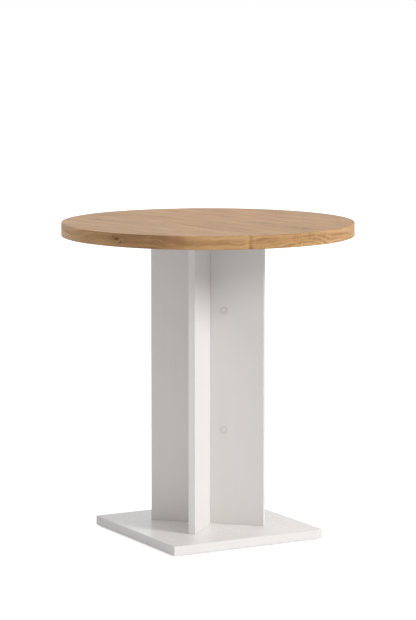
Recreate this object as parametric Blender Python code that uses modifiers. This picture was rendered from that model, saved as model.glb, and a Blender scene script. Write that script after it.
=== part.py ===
"""Round pedestal table: a round oak-decor top on a cross of white panels and a square base plate.

The table is board furniture that comes flat in a box. A full-width panel, the spine, runs front
to back, and two half-width panels, the wings, butt against its faces. Cam fittings and dowels
hold the wings, screws and dowels hold the cross to the base plate, and steel angles hold the top.

Table frame: metres, +Z up, origin on the floor under the centre of the base plate. The base plate's
edges run along X and Y. The cross stands on the plate's diagonals, so it is built in the frame of
the empty "pedestal_axis", turned 45 degrees: there +X runs along the right wing and -Y runs
along the front half of the spine.
"""

import math

import bmesh
import bpy
from mathutils import Matrix, Vector

# Boards
TABLETOP_DIAMETER = 0.700
TABLETOP_THICKNESS = 0.032
PANEL_HEIGHT = 0.696
PANEL_THICKNESS = 0.016
CROSS_WIDTH = 0.280
CROSS_DEPTH = 0.280
CROSS_TURN = math.radians(-45.0)
BASE_SIDE = 0.400
BASE_THICKNESS = 0.022

# Edge bands
TABLETOP_BAND = 0.0010
TABLETOP_BAND_CHAMFER = 0.0005
PANEL_BAND = 0.0008

# Clearances
TOUCH_GAP = 0.0003
OVERSHOOT = 0.0010

# Glides under the base plate
GLIDE_HEIGHT = 0.003
GLIDE_DIAMETER = 0.022
GLIDE_INSET = 0.035
GLIDE_PEG_DIAMETER = 0.005
GLIDE_PEG_LENGTH = 0.011
GLIDE_PEG_POINT = 0.00125
GLIDE_EASE = 0.001

# Cam fittings between the wings and the spine
CAM_DISTANCE = 0.034
CAM_FROM_BOTTOM = 0.228
CAM_FROM_TOP = 0.180
CAM_DIAMETER = 0.0144
CAM_BELOW_BOLT = 0.0042
CAM_RELEASE_TURN = math.radians(200.0)
CAM_CAVITY_HALF_HEIGHT = 0.0040
CAM_CAVITY_LOCKED = 0.0057
CAM_CAVITY_RISE = 0.0006
CAM_SLOT_MARGIN = math.radians(42.0)
CAM_LID_FLOOR = 0.0010
CAM_DRIVE_HOLE = 0.0040
CAM_DRIVE_SLOT = 0.0016
CAM_DRIVE_SPAN = 0.0084
CAM_DRIVE_CROSS_STOP = 0.0004
BOLT_SLEEVE_DIAMETER = 0.0070
BOLT_SLEEVE_REACH = 0.0160
BOLT_NECK_DIAMETER = 0.0050
BOLT_HEAD_DIAMETER = 0.0070
BOLT_HEAD_LENGTH = 0.0040
BOLT_SHOULDER = 0.0050
BOLT_HEAD_ROUND = 0.0008
CAP_DIAMETER = 0.0170
CAP_THICKNESS = 0.0010
CAP_ROUND = 0.0003

# Dowels
DOWEL_DIAMETER = 0.0080
DOWEL_CHAMFER = 0.0010
DOWEL_IN_PANEL = 0.0220
DOWEL_IN_BASE = 0.0120
WING_DOWEL_FROM_END = 0.064
BASE_DOWEL_INSET = 0.080

# Screws from below through the base plate
BASE_SCREW_INSET = 0.030
BASE_SCREW_SINK = 0.0010
BASE_SCREW_HEAD_DIAMETER = 0.0100
BASE_SCREW_HEAD_CONE = 0.0040
BASE_SCREW_SHANK_DIAMETER = 0.0070
BASE_SCREW_THREAD_DIAMETER = 0.0060
BASE_SCREW_GRIP = 0.0290
BASE_SCREW_TIP = 0.0020
BASE_SCREW_SOCKET_FLATS = 0.0040
BASE_SCREW_SOCKET_DEPTH = 0.0028

# Steel angles under the top, and their screws
BRACKET_LEG = 0.026
BRACKET_WIDTH = 0.016
BRACKET_STEEL = 0.0020
BRACKET_BEND = 0.0010
BRACKET_INSET = 0.062
BRACKET_HOLE_DIAMETER = 0.0044
BRACKET_HOLES = {"inner": 0.0085, "outer": 0.0190}
SCREW_LENGTH = 0.0130
SCREW_DIAMETER = 0.0034
SCREW_TIP = 0.0025
SCREW_HEAD_DIAMETER = 0.0068
SCREW_HEAD_HEIGHT = 0.0022
SCREW_HEAD_FLAT_DIAMETER = 0.0041
SCREW_HEAD_RIM = 0.0011
SCREW_RECESS_SPAN = 0.0034
SCREW_RECESS_WIDTH = 0.0008
SCREW_RECESS_DEPTH = 0.0012

# Facets
ROUND_TOP_SIDES = 96
CAM_SIDES = 24
BORE_SIDES = 16
PIN_SIDES = 12
SMALL_SIDES = 10
BEND_STEPS = 4

# Heights of the joints between the boards, and lengths that follow from the sizes above
BASE_UNDERSIDE = GLIDE_HEIGHT
BASE_TOP = BASE_UNDERSIDE + BASE_THICKNESS
TABLETOP_UNDERSIDE = BASE_TOP + PANEL_HEIGHT
TABLETOP_FACE = TABLETOP_UNDERSIDE + TABLETOP_THICKNESS
HALF_PANEL = PANEL_THICKNESS / 2
ARM_REACH = {"right_wing": CROSS_WIDTH / 2, "spine_back": CROSS_DEPTH / 2,
             "left_wing": CROSS_WIDTH / 2, "spine_front": CROSS_DEPTH / 2}
ARM_SIDE = {"left": -1.0, "right": 1.0}
CAM_HEIGHTS = {"lower": CAM_FROM_BOTTOM, "upper": PANEL_HEIGHT - CAM_FROM_TOP}
WING_DOWEL_HEIGHTS = {"lower": WING_DOWEL_FROM_END, "upper": PANEL_HEIGHT - WING_DOWEL_FROM_END}
CAM_LID = HALF_PANEL - CAM_CAVITY_HALF_HEIGHT
CAM_DRIVE_DEPTH = CAM_LID - CAM_LID_FLOOR
CAM_CENTRE = HALF_PANEL + CAM_DISTANCE
CAM_DEPTH = HALF_PANEL + CAM_BELOW_BOLT
BASE_SCREW_SHANK = BASE_THICKNESS - BASE_SCREW_SINK
SCREW_REACH = SCREW_LENGTH - BRACKET_STEEL - TOUCH_GAP


def clear_scene():
    """Removes every object that the file opened with."""
    for obj in list(bpy.data.objects):
        bpy.data.objects.remove(obj, do_unlink=True)


def collection(name):
    """A collection under the scene's own."""
    made = bpy.data.collections.new(name)
    bpy.context.scene.collection.children.link(made)
    return made


def material(name, colour, roughness, metallic=0.0):
    """A Principled material in one finish."""
    made = bpy.data.materials.new(name)
    made.use_nodes = True
    shader = made.node_tree.nodes["Principled BSDF"]
    shader.inputs["Base Color"].default_value = (*colour, 1.0)
    shader.inputs["Roughness"].default_value = roughness
    shader.inputs["Metallic"].default_value = metallic
    made.diffuse_color = (*colour, 1.0)
    return made


def add(name, mesh, place=Matrix(), finish=None):
    """A piece of the table, placed in the frame of the pedestal's axis."""
    obj = bpy.data.objects.new(name, mesh)
    TABLE.objects.link(obj)
    obj.parent = PEDESTAL_AXIS
    obj.matrix_local = place
    if finish:
        mesh.materials.clear()
        mesh.materials.append(finish)
    return obj


def add_cutter(name, mesh):
    """A solid that only cuts: drawn as wire, and left out of the table."""
    obj = bpy.data.objects.new(name, mesh)
    CUTTERS.objects.link(obj)
    obj.parent = PEDESTAL_AXIS
    obj.hide_render = True
    obj.display_type = "WIRE"
    return obj


def cut(target, cutter):
    """Cuts one solid out of another."""
    modifier = target.modifiers.new(cutter.name, "BOOLEAN")
    modifier.operation = "DIFFERENCE"
    modifier.solver = "EXACT"
    modifier.object = cutter


def finished_mesh(obj):
    """The mesh of a piece with its modifiers carried out, for like pieces to share."""
    evaluated = obj.evaluated_get(bpy.context.evaluated_depsgraph_get())
    mesh = bpy.data.meshes.new_from_object(evaluated)
    cutters = [m.object for m in obj.modifiers if m.type == "BOOLEAN"]
    for used in [obj, *cutters]:
        bpy.data.objects.remove(used, do_unlink=True)
    return mesh


def add_copies(mesh, places):
    """Like pieces that share one mesh: a dictionary of names and their places."""
    for name, place in places.items():
        add(name, mesh, place)


def box_mesh(name, low, high, place=Matrix()):
    """A block between two corners."""
    low, high = Vector(low), Vector(high)
    bm = bmesh.new()
    bmesh.ops.create_cube(bm, size=1.0)
    bmesh.ops.scale(bm, vec=high - low, verts=bm.verts)
    bmesh.ops.translate(bm, vec=(low + high) / 2, verts=bm.verts)
    bmesh.ops.transform(bm, matrix=place, verts=bm.verts)
    mesh = bpy.data.meshes.new(name)
    bm.to_mesh(mesh)
    bm.free()
    return mesh


def board(name, low, high, finish):
    """A board between two corners, with its origin at its centre."""
    centre = (Vector(low) + Vector(high)) / 2
    mesh = box_mesh(name, Vector(low) - centre, Vector(high) - centre)
    return add(name, mesh, Matrix.Translation(centre), finish)


def turned(name, profile, sides, finish=None):
    """A turned piece: (radius, height) points down its outer side, spun round Z."""
    mesh = bpy.data.meshes.new(name)
    points = [(radius, 0.0, height) for radius, height in profile]
    steps = list(range(len(points)))
    mesh.from_pydata(points, list(zip(steps, steps[1:])), [])
    obj = add(name, mesh, Matrix(), finish)
    spin = obj.modifiers.new("turn", "SCREW")
    spin.axis = "Z"
    spin.steps = sides
    spin.render_steps = sides
    spin.use_merge_vertices = True
    spin.merge_threshold = 0.0001
    spin.use_smooth_shade = True
    return obj


def outline_mesh(name, outline, low, high):
    """A flat outline in XY, filled and extruded from one height to another."""
    curve = bpy.data.curves.new(name, "CURVE")
    curve.dimensions = "2D"
    curve.fill_mode = "BOTH"
    curve.extrude = (high - low) / 2
    spline = curve.splines.new("POLY")
    spline.points.add(len(outline) - 1)
    for point, (x, y) in zip(spline.points, outline):
        point.co = (x, y, 0.0, 1.0)
    spline.use_cyclic_u = True
    drawn = bpy.data.objects.new(name, curve)
    CUTTERS.objects.link(drawn)
    evaluated = drawn.evaluated_get(bpy.context.evaluated_depsgraph_get())
    mesh = bpy.data.meshes.new_from_object(evaluated)
    bpy.data.objects.remove(drawn, do_unlink=True)
    bm = bmesh.new()
    bm.from_mesh(mesh)
    bmesh.ops.remove_doubles(bm, verts=bm.verts, dist=0.00001)
    bmesh.ops.translate(bm, vec=(0.0, 0.0, (low + high) / 2), verts=bm.verts)
    bmesh.ops.recalc_face_normals(bm, faces=bm.faces)
    bm.to_mesh(mesh)
    bm.free()
    return mesh


def bore(mouth, direction, diameter, depth, sides=BORE_SIDES):
    """One drilled hole: where it starts, the way the drill goes, its diameter and its depth."""
    return Vector(mouth), Vector(direction).normalized(), diameter / 2, diameter / 2, depth, sides


def countersink(mouth, direction, mouth_diameter, end_diameter, depth):
    """A conical mouth for a screw head, which narrows the way the drill goes."""
    way = Vector(direction).normalized()
    return Vector(mouth), way, mouth_diameter / 2, end_diameter / 2, depth, BORE_SIDES


def drill(target, label, bores):
    """Drills holes that stay clear of each other. A drill starts a little outside the board."""
    bm = bmesh.new()
    for mouth, way, mouth_radius, end_radius, depth, sides in bores:
        flare = (mouth_radius - end_radius) / depth * OVERSHOOT
        length = depth + OVERSHOOT
        middle = mouth + way * (depth - OVERSHOOT) / 2
        turn = way.to_track_quat("Z", "Y").to_matrix().to_4x4()
        bmesh.ops.create_cone(bm, cap_ends=True, segments=sides, radius1=mouth_radius + flare,
                              radius2=end_radius, depth=length,
                              matrix=Matrix.Translation(middle) @ turn)
    mesh = bpy.data.meshes.new(f"{target.name}_{label}")
    bm.to_mesh(mesh)
    bm.free()
    cut(target, add_cutter(mesh.name, mesh))


def loose(diameter):
    """The hole for a pin of this diameter, with the touching gap all round."""
    return diameter + 2 * TOUCH_GAP


def arc(centre, radius, start, end, steps):
    """Points along an arc, in degrees."""
    angles = [math.radians(start + (end - start) * step / steps) for step in range(steps + 1)]
    return [(centre[0] + radius * math.cos(a), centre[1] + radius * math.sin(a)) for a in angles]


def cross_outline(span, width):
    """The outline of a cross recess: three points at each quarter turn."""
    long, thin = span / 2, width / 2
    outline = []
    for quarter in range(4):
        turn = Matrix.Rotation(quarter * math.pi / 2, 2)
        outline += [tuple(turn @ Vector(point)) for point in ((long, -thin), (long, thin),
                                                              (thin, thin))]
    return outline


def frame(x_way, z_way, origin):
    """A place from where a piece's own X and Z axes point, and its origin."""
    x_way, z_way = Vector(x_way), Vector(z_way)
    columns = (x_way, z_way.cross(x_way), z_way)
    turn = Matrix([[column[row] for column in columns] for row in range(3)]).to_4x4()
    return Matrix.Translation(origin) @ turn


def arm_frames():
    """Each arm of the cross: its +X runs outward along the arm, from the pedestal's axis."""
    quarter = math.pi / 2
    return {arm: Matrix.Rotation(turn * quarter, 4, "Z") for turn, arm in enumerate(ARM_REACH)}


def base_screw_places():
    """Heads sunk under the base plate, one screw up into each arm of the cross."""
    return {arm: turn @ Matrix.Translation((ARM_REACH[arm] - BASE_SCREW_INSET, 0.0,
                                            BASE_UNDERSIDE + BASE_SCREW_SINK))
            for arm, turn in arm_frames().items()}


def base_dowel_places():
    """One dowel up into each arm of the cross, centred on the base plate's top face."""
    return {arm: turn @ Matrix.Translation((ARM_REACH[arm] - BASE_DOWEL_INSET, 0.0, BASE_TOP))
            for arm, turn in arm_frames().items()}


def bracket_places():
    """The angle's corner on each arm: against the panel's face and under the top."""
    corner_height = TABLETOP_UNDERSIDE - TOUCH_GAP
    places = {}
    for arm, turn in arm_frames().items():
        corner = (ARM_REACH[arm] - BRACKET_INSET, HALF_PANEL + TOUCH_GAP, corner_height)
        places[arm] = turn @ Matrix.Translation(corner)
    return places


def panel_screw_bores(arm):
    """Pilot holes in an arm's face for the two screws of its angle."""
    corner = bracket_places()[arm]
    into = corner.to_3x3() @ Vector((0.0, -1.0, 0.0))
    holes = []
    for down in BRACKET_HOLES.values():
        mouth = corner @ Vector((0.0, -TOUCH_GAP, -down))
        holes.append(bore(mouth, into, loose(SCREW_DIAMETER), SCREW_REACH, SMALL_SIDES))
    return holes


def end_bores(arm):
    """The screw's and the dowel's holes in the bottom end of an arm."""
    screw = base_screw_places()[arm].translation
    dowel = base_dowel_places()[arm].translation
    up = (0.0, 0.0, 1.0)
    return [bore((screw.x, screw.y, BASE_TOP + TOUCH_GAP), up, loose(BASE_SCREW_THREAD_DIAMETER),
                 BASE_SCREW_GRIP),
            bore((dowel.x, dowel.y, BASE_TOP + TOUCH_GAP), up, loose(DOWEL_DIAMETER),
                 DOWEL_IN_PANEL)]


def make_tabletop():
    """The round board with its screw holes from below, and the band round its edge."""
    board_radius = TABLETOP_DIAMETER / 2 - TABLETOP_BAND - TOUCH_GAP
    low = TABLETOP_UNDERSIDE + TOUCH_GAP
    bm = bmesh.new()
    bmesh.ops.create_cone(bm, cap_ends=True, segments=ROUND_TOP_SIDES, radius1=board_radius,
                          radius2=board_radius, depth=TABLETOP_FACE - low)
    mesh = bpy.data.meshes.new("tabletop_board")
    bm.to_mesh(mesh)
    bm.free()
    place = Matrix.Translation((0.0, 0.0, (low + TABLETOP_FACE) / 2))
    tabletop = add("tabletop_board", mesh, place, OAK_DECOR)
    holes = []
    for corner in bracket_places().values():
        for out in BRACKET_HOLES.values():
            mouth = corner @ Vector((0.0, out, 2 * TOUCH_GAP))
            holes.append(bore(mouth, (0.0, 0.0, 1.0), loose(SCREW_DIAMETER), SCREW_REACH,
                              SMALL_SIDES))
    drill(tabletop, "screw_holes", holes)

    outer = TABLETOP_DIAMETER / 2
    inner = outer - TABLETOP_BAND
    chamfer = TABLETOP_BAND_CHAMFER
    section = [(outer - chamfer, TABLETOP_FACE), (outer, TABLETOP_FACE - chamfer),
               (outer, low + chamfer), (outer - chamfer, low), (inner, low),
               (inner, TABLETOP_FACE), (outer - chamfer, TABLETOP_FACE)]
    turned("tabletop_edge_band", section, ROUND_TOP_SIDES, OAK_BAND)


def make_spine():
    """The panel that runs front to back, bored through for the wings' fittings, and its bands."""
    reach = CROSS_DEPTH / 2
    edge = reach - PANEL_BAND
    low, high = BASE_TOP + TOUCH_GAP, TABLETOP_UNDERSIDE
    spine = board("spine_panel", (-HALF_PANEL, -edge + TOUCH_GAP, low),
                  (HALF_PANEL, edge - TOUCH_GAP, high), WHITE_BOARD)
    across = (1.0, 0.0, 0.0)
    through = PANEL_THICKNESS + OVERSHOOT
    holes = [bore((-HALF_PANEL, 0.0, BASE_TOP + height), across, loose(BOLT_SLEEVE_DIAMETER),
                  through) for height in CAM_HEIGHTS.values()]
    holes += [bore((-HALF_PANEL, 0.0, BASE_TOP + height), across, loose(DOWEL_DIAMETER),
                   through) for height in WING_DOWEL_HEIGHTS.values()]
    for arm in ("spine_back", "spine_front"):
        holes += end_bores(arm) + panel_screw_bores(arm)
    drill(spine, "bores", holes)
    for end, side in (("front", -1.0), ("back", 1.0)):
        near, far = sorted((side * edge, side * reach))
        board(f"spine_{end}_edge_band", (-HALF_PANEL, near, low), (HALF_PANEL, far, high),
              WHITE_BAND)


def make_wings():
    """The half-width panels against the spine's faces, bored for cams, bolts and dowels: one
    part used twice, the left one half a turn round."""
    reach = CROSS_WIDTH / 2
    edge = reach - PANEL_BAND
    low, high = BASE_TOP + TOUCH_GAP, TABLETOP_UNDERSIDE
    butt = HALF_PANEL + TOUCH_GAP
    for name, side in ARM_SIDE.items():
        near, far = sorted((side * butt, side * (edge - TOUCH_GAP)))
        wing = board(f"{name}_wing_panel", (near, -HALF_PANEL, low), (far, HALF_PANEL, high),
                     WHITE_BOARD)
        along = (side, 0.0, 0.0)
        cams = [bore((side * CAM_CENTRE, -side * HALF_PANEL, BASE_TOP + height),
                     (0.0, side, 0.0), loose(CAM_DIAMETER), CAM_DEPTH + TOUCH_GAP, CAM_SIDES)
                for height in CAM_HEIGHTS.values()]
        drill(wing, "cam_bores", cams)
        holes = [bore((side * butt, 0.0, BASE_TOP + height), along, loose(BOLT_SLEEVE_DIAMETER),
                      CAM_DISTANCE) for height in CAM_HEIGHTS.values()]
        holes += [bore((side * butt, 0.0, BASE_TOP + height), along, loose(DOWEL_DIAMETER),
                       DOWEL_IN_PANEL) for height in WING_DOWEL_HEIGHTS.values()]
        holes += end_bores(f"{name}_wing") + panel_screw_bores(f"{name}_wing")
        drill(wing, "edge_bores", holes)
        near, far = sorted((side * edge, side * reach))
        board(f"{name}_wing_edge_band", (near, -HALF_PANEL, low), (far, HALF_PANEL, high),
              WHITE_BAND)


def make_base():
    """The square plate, turned back to the table's axes, with four bands and its bores."""
    square = Matrix.Rotation(-CROSS_TURN, 4, "Z")
    half = BASE_SIDE / 2
    edge = half - PANEL_BAND
    inner = edge - TOUCH_GAP
    centre = Matrix.Translation((0.0, 0.0, (BASE_UNDERSIDE + BASE_TOP) / 2))
    tall = BASE_THICKNESS / 2
    mesh = box_mesh("base_plate", (-inner, -inner, -tall), (inner, inner, tall))
    base = add("base_plate", mesh, square @ centre, WHITE_BOARD)
    up = (0.0, 0.0, 1.0)
    through = BASE_THICKNESS + OVERSHOOT
    holes, heads = [], []
    cone = (BASE_SCREW_HEAD_DIAMETER - BASE_SCREW_SHANK_DIAMETER) / BASE_SCREW_HEAD_CONE
    for place in base_screw_places().values():
        mouth = (place.translation.x, place.translation.y, BASE_UNDERSIDE)
        holes.append(bore(mouth, up, loose(BASE_SCREW_SHANK_DIAMETER), through))
        depth = BASE_SCREW_SINK + BASE_SCREW_HEAD_CONE
        end = loose(BASE_SCREW_SHANK_DIAMETER) + TOUCH_GAP
        heads.append(countersink(mouth, up, end + cone * depth, end, depth))
    for place in base_dowel_places().values():
        mouth = (place.translation.x, place.translation.y, BASE_TOP)
        holes.append(bore(mouth, (0.0, 0.0, -1.0), loose(DOWEL_DIAMETER), DOWEL_IN_BASE))
    for place in glide_places().values():
        mouth = (place.translation.x, place.translation.y, BASE_UNDERSIDE)
        holes.append(bore(mouth, up, loose(GLIDE_PEG_DIAMETER), GLIDE_PEG_LENGTH, PIN_SIDES))
    drill(base, "bores", holes)
    drill(base, "countersinks", heads)

    for turn, (edge_name, reach) in enumerate((("right", inner), ("back", half),
                                               ("left", inner), ("front", half))):
        mesh = box_mesh(f"base_{edge_name}_edge_band", (-PANEL_BAND / 2, -reach, -tall),
                        (PANEL_BAND / 2, reach, tall))
        quarter = Matrix.Rotation(turn * math.pi / 2, 4, "Z")
        offset = Matrix.Translation((half - PANEL_BAND / 2, 0.0, 0.0))
        add(mesh.name, mesh, square @ centre @ quarter @ offset, WHITE_BAND)


def glide_places():
    """A glide near each corner of the base plate."""
    out = BASE_SIDE / 2 - GLIDE_INSET
    square = Matrix.Rotation(-CROSS_TURN, 4, "Z")
    corners = {"front_left": (-out, -out), "front_right": (out, -out),
               "back_right": (out, out), "back_left": (-out, out)}
    return {name: square @ Matrix.Translation((x, y, 0.0)) for name, (x, y) in corners.items()}


def make_glides():
    """Push-in plastic glides: a low button with a peg that stands in the base plate."""
    button = GLIDE_DIAMETER / 2
    peg = GLIDE_PEG_DIAMETER / 2
    shoulder = GLIDE_HEIGHT - TOUCH_GAP
    tip = BASE_UNDERSIDE + GLIDE_PEG_LENGTH - TOUCH_GAP
    profile = [(0.0, tip), (GLIDE_PEG_POINT, tip), (peg, tip - peg), (peg, shoulder),
               (button, shoulder), (button, GLIDE_EASE), (button - GLIDE_EASE, 0.0), (0.0, 0.0)]
    mesh = finished_mesh(turned("glide", profile, BORE_SIDES, GLIDE_PLASTIC))
    add_copies(mesh, {f"glide_{name}": place for name, place in glide_places().items()})


def cam_cavity_radius(angle):
    """The cam's inner wall: it closes in on the bolt head as the cam turns from open to locked."""
    turned_back = -angle
    closed_end = 2 * math.pi - CAM_SLOT_MARGIN
    open_end = CAM_RELEASE_TURN + CAM_SLOT_MARGIN
    if turned_back <= CAM_RELEASE_TURN:
        share = max(turned_back, 0.0) / CAM_RELEASE_TURN
    elif turned_back <= open_end:
        share = 1.0
    else:
        share = (closed_end - turned_back) / (closed_end - open_end)
    return CAM_CAVITY_LOCKED + CAM_CAVITY_RISE * share


def cam_mesh():
    """The cam in its own frame: +Z out of the wing's face, +X towards the bolt, locked."""
    radius = CAM_DIAMETER / 2
    drum = turned("cam", [(0.0, 0.0), (radius, 0.0), (radius, -CAM_DEPTH), (0.0, -CAM_DEPTH)],
                  CAM_SIDES, ZINC)
    below = -CAM_DEPTH - OVERSHOOT
    slot_end = -(CAM_RELEASE_TURN + CAM_SLOT_MARGIN)

    angles = [CAM_SLOT_MARGIN - 2 * math.pi * (step + 0.5) / CAM_SIDES for step in range(CAM_SIDES)]
    cavity = [(cam_cavity_radius(a) * math.cos(a), cam_cavity_radius(a) * math.sin(a))
              for a in angles]
    cut(drum, add_cutter("cam_cavity", outline_mesh("cam_cavity", cavity, below, -CAM_LID)))

    outside = radius + 2 * OVERSHOOT
    half_slot = loose(BOLT_NECK_DIAMETER) / 2
    sector = [(0.0, 0.0)] + arc((0.0, 0.0), outside, math.degrees(CAM_SLOT_MARGIN),
                                math.degrees(slot_end), PIN_SIDES)
    cut(drum, add_cutter("cam_slot", outline_mesh("cam_slot", sector, -HALF_PANEL - half_slot,
                                                  -HALF_PANEL + half_slot)))

    half_mouth = BOLT_HEAD_DIAMETER / 2 + 2 * TOUCH_GAP
    to_mouth = Matrix.Rotation(-CAM_RELEASE_TURN, 4, "Z")
    mouth_high = TOUCH_GAP - HALF_PANEL + BOLT_HEAD_DIAMETER / 2
    mouth = box_mesh("cam_mouth", (0.0, -half_mouth, below), (outside, half_mouth, mouth_high),
                     to_mouth)
    cut(drum, add_cutter("cam_mouth", mouth))

    cross = cross_outline(CAM_DRIVE_SPAN, CAM_DRIVE_SLOT)
    drive_low = CAM_DRIVE_CROSS_STOP - CAM_DRIVE_DEPTH
    cut(drum, add_cutter("cam_drive", outline_mesh("cam_drive", cross, drive_low, OVERSHOOT)))
    drill(drum, "drive_hole", [bore((0.0, 0.0, 0.0), (0.0, 0.0, -1.0), CAM_DRIVE_HOLE,
                                    CAM_DRIVE_DEPTH, PIN_SIDES)])
    return finished_mesh(drum)


def cam_places():
    """Each cam's place in its wing: +Z out of the drilled face and +X towards the spine.

    The wings are one part used twice, so the left one stands half a turn round from the right
    one: the right wing's cams open to the front and the left wing's to the back.
    """
    places = {}
    for level, height in CAM_HEIGHTS.items():
        for name, side in ARM_SIDE.items():
            origin = (side * CAM_CENTRE, -side * HALF_PANEL, BASE_TOP + height)
            places[f"{level}_{name}_cam"] = frame((-side, 0.0, 0.0), (0.0, -side, 0.0), origin)
    return places


def make_cam_fittings():
    """Cams that turn to lock, caps that pull off, and the bolts that pass through the spine."""
    add_copies(cam_mesh(), cam_places())

    flange = CAP_DIAMETER / 2
    peg = CAM_DRIVE_HOLE / 2 - TOUCH_GAP
    top = TOUCH_GAP + CAP_THICKNESS
    profile = [(0.0, top), (flange - CAP_ROUND, top), (flange, top - CAP_ROUND),
               (flange, TOUCH_GAP), (peg, TOUCH_GAP), (peg, TOUCH_GAP - CAM_DRIVE_DEPTH),
               (0.0, TOUCH_GAP - CAM_DRIVE_DEPTH)]
    cap = finished_mesh(turned("cam_cap", profile, CAM_SIDES, CAP_PLASTIC))
    add_copies(cap, {f"{name}_cap": place for name, place in cam_places().items()})

    sleeve = BOLT_SLEEVE_DIAMETER / 2
    neck = BOLT_NECK_DIAMETER / 2
    head = BOLT_HEAD_DIAMETER / 2
    sleeve_end = HALF_PANEL + BOLT_SLEEVE_REACH
    shoulder = CAM_CENTRE - BOLT_SHOULDER
    tip = shoulder + BOLT_HEAD_LENGTH
    half = [(0.0, tip), (head - BOLT_HEAD_ROUND, tip), (head, tip - BOLT_HEAD_ROUND),
            (head, shoulder), (neck, shoulder), (neck, sleeve_end), (sleeve, sleeve_end)]
    profile = half + [(radius, -height) for radius, height in reversed(half)]
    bolt = finished_mesh(turned("cam_bolt", profile, PIN_SIDES, STEEL))
    add_copies(bolt, {f"{level}_cam_bolt": frame((0.0, 0.0, 1.0), (1.0, 0.0, 0.0),
                                                 (0.0, 0.0, BASE_TOP + height))
                      for level, height in CAM_HEIGHTS.items()})


def dowel_mesh(name, high, low):
    """A beech dowel along Z with chamfered ends."""
    radius = DOWEL_DIAMETER / 2
    ease = radius - DOWEL_CHAMFER
    profile = [(0.0, high), (ease, high), (radius, high - DOWEL_CHAMFER),
               (radius, low + DOWEL_CHAMFER), (ease, low), (0.0, low)]
    return finished_mesh(turned(name, profile, PIN_SIDES, BEECH))


def make_dowels():
    """Dowels through the spine into both wings, and dowels from the base plate into the cross."""
    reach = HALF_PANEL + DOWEL_IN_PANEL - TOUCH_GAP
    through = dowel_mesh("wing_dowel", reach, -reach)
    add_copies(through, {f"{level}_wing_dowel": frame((0.0, 0.0, 1.0), (1.0, 0.0, 0.0),
                                                      (0.0, 0.0, BASE_TOP + height))
                         for level, height in WING_DOWEL_HEIGHTS.items()})
    standing = dowel_mesh("base_dowel", DOWEL_IN_PANEL - TOUCH_GAP, TOUCH_GAP - DOWEL_IN_BASE)
    add_copies(standing, {f"{arm}_base_dowel": place
                          for arm, place in base_dowel_places().items()})


def make_base_screws():
    """Countersunk screws with a hexagon socket, driven up through the base plate."""
    head = BASE_SCREW_HEAD_DIAMETER / 2
    shank = BASE_SCREW_SHANK_DIAMETER / 2
    thread = BASE_SCREW_THREAD_DIAMETER / 2
    tip = -(BASE_SCREW_SHANK + BASE_SCREW_GRIP - TOUCH_GAP)
    profile = [(0.0, 0.0), (head, 0.0), (shank, -BASE_SCREW_HEAD_CONE),
               (shank, -BASE_SCREW_SHANK), (thread, -BASE_SCREW_SHANK),
               (thread, tip + BASE_SCREW_TIP), (thread / 2, tip), (0.0, tip)]
    screw = turned("base_screw", profile, PIN_SIDES, STEEL)
    across_corners = BASE_SCREW_SOCKET_FLATS / math.cos(math.pi / 6)
    drill(screw, "socket", [bore((0.0, 0.0, 0.0), (0.0, 0.0, -1.0), across_corners,
                                 BASE_SCREW_SOCKET_DEPTH, 6)])
    head_down = Matrix.Rotation(math.pi, 4, "X")
    add_copies(finished_mesh(screw), {f"{arm}_base_screw": place @ head_down
                                      for arm, place in base_screw_places().items()})


def make_brackets():
    """Steel angles in the corners between the cross and the top, each with four screws."""
    steel, leg = BRACKET_STEEL, BRACKET_LEG
    outer = steel + BRACKET_BEND
    outline = [(leg, 0.0)] + arc((outer, -outer), outer, 90, 180, BEND_STEPS)
    outline += [(0.0, -leg), (steel, -leg)]
    outline += arc((outer, -outer), BRACKET_BEND, 180, 90, BEND_STEPS) + [(leg, -steel)]
    mesh = outline_mesh("angle_bracket", outline, -BRACKET_WIDTH / 2, BRACKET_WIDTH / 2)
    angle = add("angle_bracket", mesh, Matrix(), ZINC)
    through = steel + OVERSHOOT
    holes = []
    for along in BRACKET_HOLES.values():
        holes.append(bore((0.0, -along, 0.0), (1.0, 0.0, 0.0), BRACKET_HOLE_DIAMETER, through,
                          SMALL_SIDES))
        holes.append(bore((along, 0.0, 0.0), (0.0, -1.0, 0.0), BRACKET_HOLE_DIAMETER, through,
                          SMALL_SIDES))
    drill(angle, "holes", holes)
    on_arm = frame((0.0, 1.0, 0.0), (1.0, 0.0, 0.0), (0.0, 0.0, 0.0))
    add_copies(finished_mesh(angle), {f"{arm}_bracket": place @ on_arm
                                      for arm, place in bracket_places().items()})


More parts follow.
